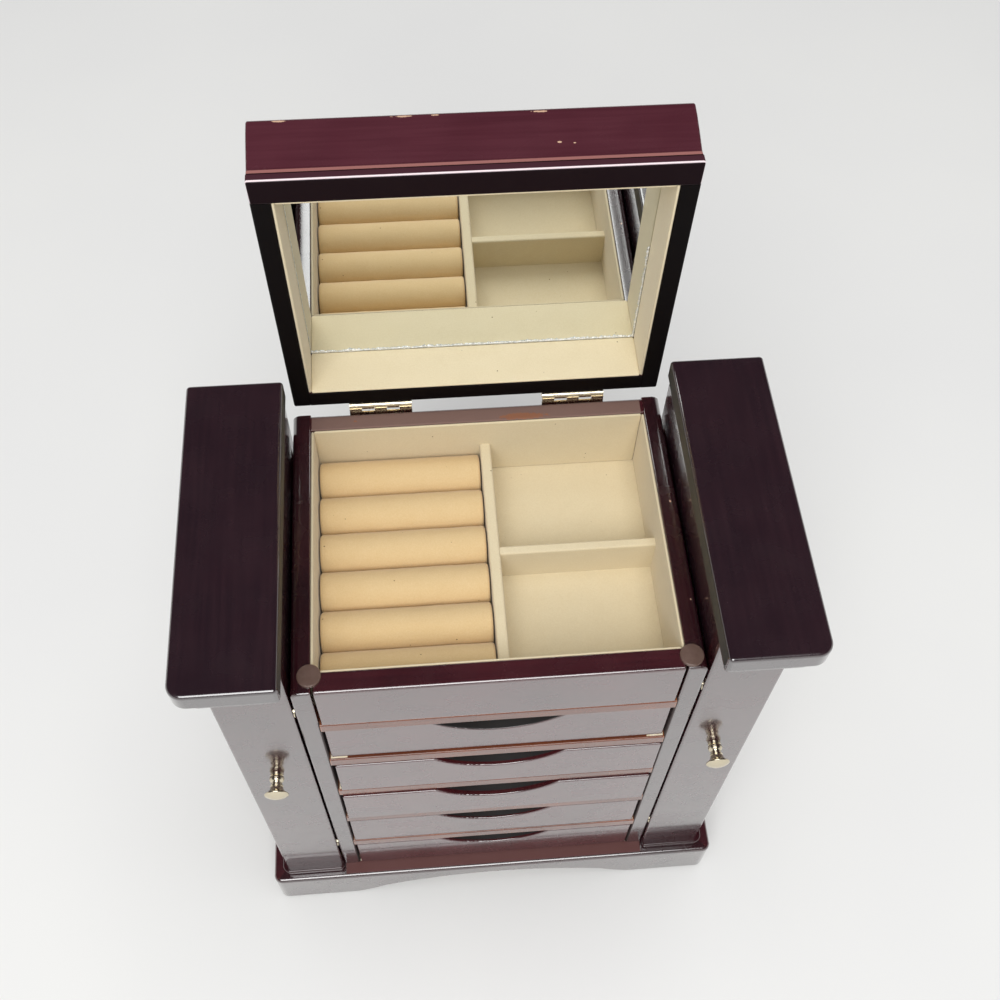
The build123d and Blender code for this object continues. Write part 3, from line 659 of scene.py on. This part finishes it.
# %% Lid cards and mirror edge
hinge = next(joint for joint in frame["joints"] if joint["name"] == "lid_hinge")
hinge_place = np.array(hinge["pos_m"])
open_angle = math.radians(hinge["range_deg"][1])


def about_hinge(points, angle):
    """Turns points about the hinge line: y' = c y - s z and z' = s y + c z, measured from that line."""
    moved = np.asarray(points, float) - hinge_place
    c, s = math.cos(angle), math.sin(angle)
    y, z = moved[..., 1], moved[..., 2]
    return np.stack([moved[..., 0], c * y - s * z, s * y + c * z], -1) + hinge_place


def swung(points):
    """Takes points of the closed lid to where they are when the lid stands open."""
    return about_hinge(points, -open_angle)


def shut_box(node):
    """The box of a lid node in the closed lid, from its own points turned back."""
    mesh = frame["nodes"][node].data
    flat = np.empty(3 * len(mesh.vertices))
    mesh.vertices.foreach_get("co", flat)
    shut = about_hinge(flat.reshape(-1, 3), open_angle)
    return shut.min(0), shut.max(0)


lid_low, lid_high = shut_box("lid_lining")
lid_span = (lid_low[2], lid_high[2] - 0.1 * MM)
lid_cards = {
    "lid_card_left": ((lid_low[0], lid_low[1] + CLEAR), (lid_low[0] + WALL, lid_high[1] - CLEAR)),
    "lid_card_right": ((lid_high[0] - WALL, lid_low[1] + CLEAR), (lid_high[0], lid_high[1] - CLEAR)),
    "lid_card_front": ((lid_low[0] + WALL, lid_low[1]), (lid_high[0] - WALL, lid_low[1] + WALL)),
    "lid_card_back": ((lid_low[0] + WALL, lid_high[1] - WALL), (lid_high[0] - WALL, lid_high[1])),
}
for number, (name, (near, far)) in enumerate(lid_cards.items(), 30):
    made = card(name, (*near, lid_span[0]), (*far, lid_span[1]), "lid", seed=number, finish=lid_suede_painted_paler,
                turned=swung)
    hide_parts("lid_lining")


def ground_edge(name):
    """Bright facets a fraction of a millimetre wide, each tipped its own way."""
    made, tree, shader = material(name, Metallic=0.3, Roughness=0.2)
    facets = add(tree, "TexVoronoi", {"feature": "F1"}, Scale=1.0,
                 Vector=grain_place(tree, (0.9, 0.9, 0.9)))
    bump = add(tree, "Bump", Strength=1.0, Distance=0.6 * MM, Height=facets.outputs["Distance"]).outputs[0]
    tree.links.new(bump, shader.inputs["Normal"])
    tone = ranged(tree, noise(tree, (1.2, 1.2, 1.2), 2.0, 0.5), 0.4, 0.6)
    tree.links.new(mixed(tree, tone, linear("#dfe3df"), linear("#fdfefd")), shader.inputs["Base Color"])
    return made


glass_edge = ground_edge("ground glass edge, silvered")


def ragged_bead(name, start, end, inward, width, seed):
    """A thin half round strip from start to end, whose uneven width makes its inner border look torn."""
    start, end, inward = np.array(start), np.array(end), np.array(inward, float)
    steps = max(12, int(np.linalg.norm(end - start) / (0.8 * MM)))
    share = np.linspace(0, 1, steps)[:, None]
    line = start + (end - start) * share
    random = np.random.default_rng(seed)
    jagged = 0.45 * random.uniform(-1, 1, (steps, 1)) ** 3 + 0.2 * ripple(share * 40, 0 * share, seed, 3.0)
    wide = width * (0.75 + jagged)
    turn = np.linspace(0, 2 * math.pi, 8, endpoint=False)
    proud = np.array([0, 0, -1.0])
    rings = (line[:, None] + inward * (wide[:, :, None] * (0.5 + 0.5 * np.cos(turn))[None, :, None])
             + proud * (0.22 * wide[:, :, None] * (0.4 + np.sin(turn))[None, :, None]))
    return skin(name, swung(rings), glass_edge, "lid")


inner_x = lid_high[0] - WALL
inner_front, inner_back = lid_low[1] + WALL, lid_high[1] - WALL
face = shut_box("lid_mirror")[0][2]
back_left, back_right = (-inner_x, inner_back, face), (inner_x, inner_back, face)
front_left, front_right = (-inner_x, inner_front, face), (inner_x, inner_front, face)
part_way = (inner_x, inner_front + 60 * MM, face)
ragged_bead("mirror_edge_back", back_left, back_right, (0, -1, 0), 1.9 * MM, 1)
ragged_bead("mirror_edge_right", back_right, part_way, (-1, 0, 0), 1.4 * MM, 2)
ragged_bead("mirror_edge_left", back_left, front_left, (1, 0, 0), 0.4 * MM, 3)
ragged_bead("mirror_edge_front", front_left, front_right, (0, 1, 0), 0.4 * MM, 4)
print("lid cards:", len(lid_cards), "and four mirror edges")

# %% [markdown]
# Drawer linings
#
# Each drawer holds a shallow cup of suede paper, folded up at its four sides. It is one closed skin:
# nested outlines run from the middle of the underside out, up the outside, over the soft rim, down
# the inside and back to the middle of the floor.

# %% Drawer linings
CUP_THICKNESS = 0.8 * MM


def suede_cup(name, low, high, body, seed):
    """Outlines in plan at their own height and distance from the wall, with round folds at the floor."""
    low, high = np.array(low), np.array(high)
    centre, half = (low + high) / 2, (high - low) / 2
    fold = 1.2 * MM
    skin_half = CUP_THICKNESS / 2
    turn = np.linspace(0, math.pi / 2, 5)
    outside = [(fold * (1 - math.sin(t)), fold * (1 - math.cos(t))) for t in turn]
    inside = [(CUP_THICKNESS + inset, CUP_THICKNESS + height) for inset, height in outside[::-1]]
    tall = high[2] - low[2]
    rim = [(skin_half * (1 - math.cos(t)), tall - skin_half + skin_half * math.sin(t))
           for t in np.linspace(0, math.pi, 6)]
    shares = (0.9, 0.6, 0.3, 0.1)
    loops = [(rounded_loop(*half[:2] * (1 - share), 0.1 * MM), 0.0) for share in shares]
    loops += [(rounded_loop(*half[:2] - inset, 1.6 * MM), height)
              for inset, height in outside + rim + inside]
    loops += [(rounded_loop(*(half[:2] - fold) * (1 - share), 0.1 * MM), CUP_THICKNESS)
              for share in shares[::-1]]
    rings = np.stack([np.column_stack([plan, np.full(len(plan), height)]) for plan, height in loops])
    rings[..., 2] += ripple(rings[..., 0] / MM, rings[..., 1] / MM, seed, 60.0) * 0.1 * MM
    rings += np.array([centre[0], centre[1], low[2] + 0.1 * MM])
    return skin(name, rings, cream_suede, body)


DRAWER_WALL, DRAWER_FLOOR = 5.0 * MM, 3.5 * MM
for number in drawer_numbers:
    box_low, box_high = corners(f"drawer_{number}_box")
    suede_cup(f"drawer_{number}_lining",
              box_low + np.array([DRAWER_WALL, 0, DRAWER_FLOOR]),
              box_high - np.array([DRAWER_WALL, DRAWER_WALL, 1.5 * MM]), f"drawer_{number}", number)
print("drawer linings:", len(drawer_numbers))

# %% [markdown]
# Necklace pockets
#
# At the foot of each wing a strip of soft cloth is gathered on an elastic hem and glued at its sides
# and bottom, so that the ends of the chains fall into it. The cloth is one sheet on a grid: across
# it the pleats follow a wandering sine, strong at the hem and fading down, and the belly of the
# pocket swells below the hem. Its cut size is measured from the grid and printed.

# %% Necklace pockets
pocket_cloth = suede("cream pocket cloth, brushed polyester", "#eadbb8", "#dac79d", 0.0)
PLEATS = 15
POCKET_COLUMNS, POCKET_ROWS = 300, 60


def gathered_pocket(side):
    """Depth off the panel is the belly times a side fade, plus pleats whose crests wander going down."""
    low, high = corners(f"{side}_wing_pocket")
    shares = [np.linspace(0, 1, count) for count in (POCKET_COLUMNS, POCKET_ROWS)]
    across, up = np.meshgrid(*shares, indexing="ij")
    fade = np.minimum(1.0, np.minimum(across, 1 - across) / 0.05) ** 0.6
    hem = np.exp(-((up - 0.90) / 0.035) ** 2)
    belly = 1.1 + 2.6 * np.sin(math.pi * np.clip(up, 0, 1) ** 0.8) ** 0.9 + 0.5 * up
    wander = across + 0.012 * np.sin(7 * up + 9 * across) + 0.006 * np.sin(23 * across + 3 * up)
    pleat = np.sin(2 * math.pi * PLEATS * wander) + 0.35 * np.sin(2 * math.pi * PLEATS * 2.3 * wander + 1.3)
    strength = 0.95 * (0.35 + 0.65 * up ** 1.5) * (1 - 0.55 * hem)
    depth = np.clip(fade * (belly * (1 - 0.3 * hem) + strength * pleat) + 0.3, 0.25, 5.0)
    wall = high[0] if side == "right" else low[0]
    inward = -1 if side == "right" else 1
    frill = 0.25 * MM * np.sin(2 * math.pi * PLEATS * wander) * up ** 6
    points = np.stack([wall + inward * depth * MM, low[1] + across * (high[1] - low[1]),
                       low[2] + up * (high[2] - low[2]) + frill], -1)
    columns, rows = np.meshgrid(np.arange(POCKET_COLUMNS - 1), np.arange(POCKET_ROWS - 1), indexing="ij")
    corner = columns * POCKET_ROWS + rows
    around = (0, POCKET_ROWS, POCKET_ROWS + 1, 1)
    faces = np.stack([corner + step for step in around], -1).reshape(-1, 4)
    faces = faces if side == "left" else faces[:, ::-1]
    made = piece(f"{side}_wing_gathered_pocket", points.reshape(-1, 3), faces.tolist(), pocket_cloth,
                 f"{side}_wing")
    thick = made.modifiers.new("thickness", "SOLIDIFY")
    thick.thickness, thick.offset = 0.35 * MM, 0.0
    wide = np.linalg.norm(np.diff(points, axis=0), axis=-1).sum(0).mean()
    tall = np.linalg.norm(np.diff(points, axis=1), axis=-1).sum(1).mean()
    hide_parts(f"{side}_wing_pocket")
    return wide, tall


for side in ("left", "right"):
    wide, tall = gathered_pocket(side)
    panel_low, panel_high = corners(f"{side}_wing_outer_panel")
    pocket_high = corners(f"{side}_wing_pocket")[1]
    inner = panel_low[0] if side == "right" else panel_high[0]
    reach = sorted((inner, inner + (-0.3 if side == "right" else 0.3) * MM))
    card(f"{side}_wing_lining", (reach[0], panel_low[1] + 0.3 * MM, panel_low[2] + 0.6 * MM),
         (reach[1], pocket_high[1] + 4 * MM, panel_high[2] - 0.5 * MM), f"{side}_wing", corner=0.3,
         wave=0.0, seed=40)
print("pocket cloth cut", round(wide / MM), "x", round(tall / MM), "mm")

# %% [markdown]
# Hinge screws
#
# Every leaf is held by small domed screws with a cross recess. A screw head is a stack of rings on a
# dome, and the recess is cut by lowering the points that lie within two crossing bars.

# %% Hinge screws
HEAD_RADIUS, HEAD_HEIGHT, SLOT = 1.5 * MM, 0.55 * MM, 0.3 * MM


def screw_rings(spin):
    """Local rings about +Z: a dome by the circle formula, lowered in the cross, and a short skirt."""
    radii = np.concatenate([np.linspace(0.06, 0.98, 12), [1.0, 1.0]]) * HEAD_RADIUS
    angle = np.linspace(0, 2 * math.pi, 40, endpoint=False)
    x, y = radii[:, None] * np.cos(angle + spin), radii[:, None] * np.sin(angle + spin)
    z = HEAD_HEIGHT * np.sqrt(np.maximum(0, 1 - (radii / HEAD_RADIUS) ** 2 * 0.82))[:, None] + 0 * x
    a, b = radii[:, None] * np.cos(angle), radii[:, None] * np.sin(angle)
    cross = ((np.abs(a) < SLOT / 2) | (np.abs(b) < SLOT / 2)) & (radii[:, None] < 0.62 * HEAD_RADIUS)
    z = np.where(cross, z - 0.35 * MM, z)
    z[-1] = -0.2 * MM
    return np.stack([x, y, z], -1)


def screws(name, body, places, on_lid=False):
    """One mesh of several screws facing +Y, each turned by its own angle; those on the lid swing open."""
    basis = np.array(Vector((0, 1, 0)).to_track_quat("Z", "Y").to_matrix())
    points, faces, count = [], [], 0
    for number, place in enumerate(places):
        rings = screw_rings(0.6 * number) @ basis.T + np.array(place)
        head, quads, fans = shell(swung(rings) if on_lid else rings)
        points.append(head)
        faces += (quads + count).tolist() + (fans + count).tolist()
        count += len(head)
    return piece(name, np.vstack(points), faces, nickel_plate, body)


LEAF = 0.8 * MM
LID_HINGES, LID_SCREW_X, LID_SCREW_Z = (-47.3 * MM, 47.3 * MM), 9.5 * MM, 8.0 * MM
WING_HINGES, WING_SCREW_X, WING_SCREW_Z = (84.0 * MM, 252.0 * MM), 99.6 * MM, 7.0 * MM
leaf_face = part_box("lid_hinge_fixed_leaves")[0].y + LEAF
for place, body, drop in (("below", "cabinet", -LID_SCREW_Z), ("above", "lid", LID_SCREW_Z)):
    spots = [(x + dx, leaf_face, hinge["pos_m"][2] + drop)
             for x in LID_HINGES for dx in (-LID_SCREW_X, LID_SCREW_X)]
    screws(f"lid_hinge_screws_{place}", body, spots, on_lid=body == "lid")
for side, sign in (("left", -1), ("right", 1)):
    panel_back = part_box(f"{side}_wing_back_panel")[1].y
    spots = [(sign * WING_SCREW_X, panel_back + LEAF, z + dz)
             for z in WING_HINGES for dz in (-WING_SCREW_Z, WING_SCREW_Z)]
    screws(f"{side}_wing_hinge_screws", f"{side}_wing", spots)
print("screws: 8 on the lid hinges, 8 on the wing hinges")

# %% [markdown]
# Floor, light and sky
#
# Lacquer shows what it mirrors, so the light is part of the finish. The floor is a plain pale sheet.
# One wide soft lamp hangs in front and above, and a weak one that gloss does not show hangs overhead.
# The sky is white near the horizon and dark overhead, as in a room with pale walls and an unlit
# ceiling, so that the tops of the box stay dark while its fronts mirror the floor. The same sky is
# seen by the camera, by gloss and through glass, and an even pale grey lights the matt surfaces.

# %% Floor, light and sky


def make_floor(half=3.0):
    """A square of pale paper, far wider than the view."""
    mesh = bpy.data.meshes.new("floor")
    square = [(-half, -half, 0), (half, -half, 0), (half, half, 0), (-half, half, 0)]
    mesh.from_pydata(square, [], [(0, 1, 2, 3)])
    mesh.materials.append(plain("pale paper floor", "#ebebe8", "#e8e8e6", (400, 400, 400), Roughness=0.8))
    floor = bpy.data.objects.new("floor", mesh)
    bpy.context.scene.collection.objects.link(floor)


def lamp(name, place, aim, size, watts, mirrored=True):
    """A square lamp that faces the point it is aimed at. Gloss shows it only if it is mirrored."""
    data = bpy.data.lights.new(name, "AREA")
    data.shape, data.size, data.energy = "SQUARE", size, watts
    made = bpy.data.objects.new(name, data)
    made.location = place
    made.rotation_euler = (Vector(aim) - made.location).to_track_quat("-Z", "Y").to_euler()
    made.visible_glossy = mirrored
    bpy.context.scene.collection.objects.link(made)


def make_sky(even, horizon, zenith):
    """Matt surfaces get the even grey; camera, glossy and transmission rays see the horizon and zenith."""
    world = bpy.data.worlds.new("sky")
    world.use_nodes = True
    bpy.context.scene.world = world
    tree = world.node_tree
    tree.nodes.clear()
    height = add(tree, "SeparateXYZ", Vector=add(tree, "TexCoord").outputs["Generated"]).outputs["Z"]
    shown = mixed(tree, ranged(tree, height, 0.1, 0.36), linear(horizon), linear(zenith))
    rays = add(tree, "LightPath").outputs
    seen = sums(tree, "MAXIMUM", rays["Is Camera Ray"],
                sums(tree, "MAXIMUM", rays["Is Glossy Ray"], rays["Is Transmission Ray"]))
    colour = mixed(tree, seen, linear(even), shown)
    background = add(tree, "Background", Color=colour, Strength=1.0)
    add(tree, "OutputWorld", Surface=background.outputs[0])


MIDDLE = (0, 0, 0.2)
make_floor()
lamp("front softbox", (-0.3, -1.5, 2.3), MIDDLE, 1.75, 49)
lamp("overhead softbox", (0.3, 0.1, 3.0), MIDDLE, 1.4, 12, mirrored=False)
make_sky("#bebec0", "#f6f6f3", "#222226")
bpy.context.scene.view_settings.view_transform = "Standard"
print("floor, two lamps and the sky are in place")
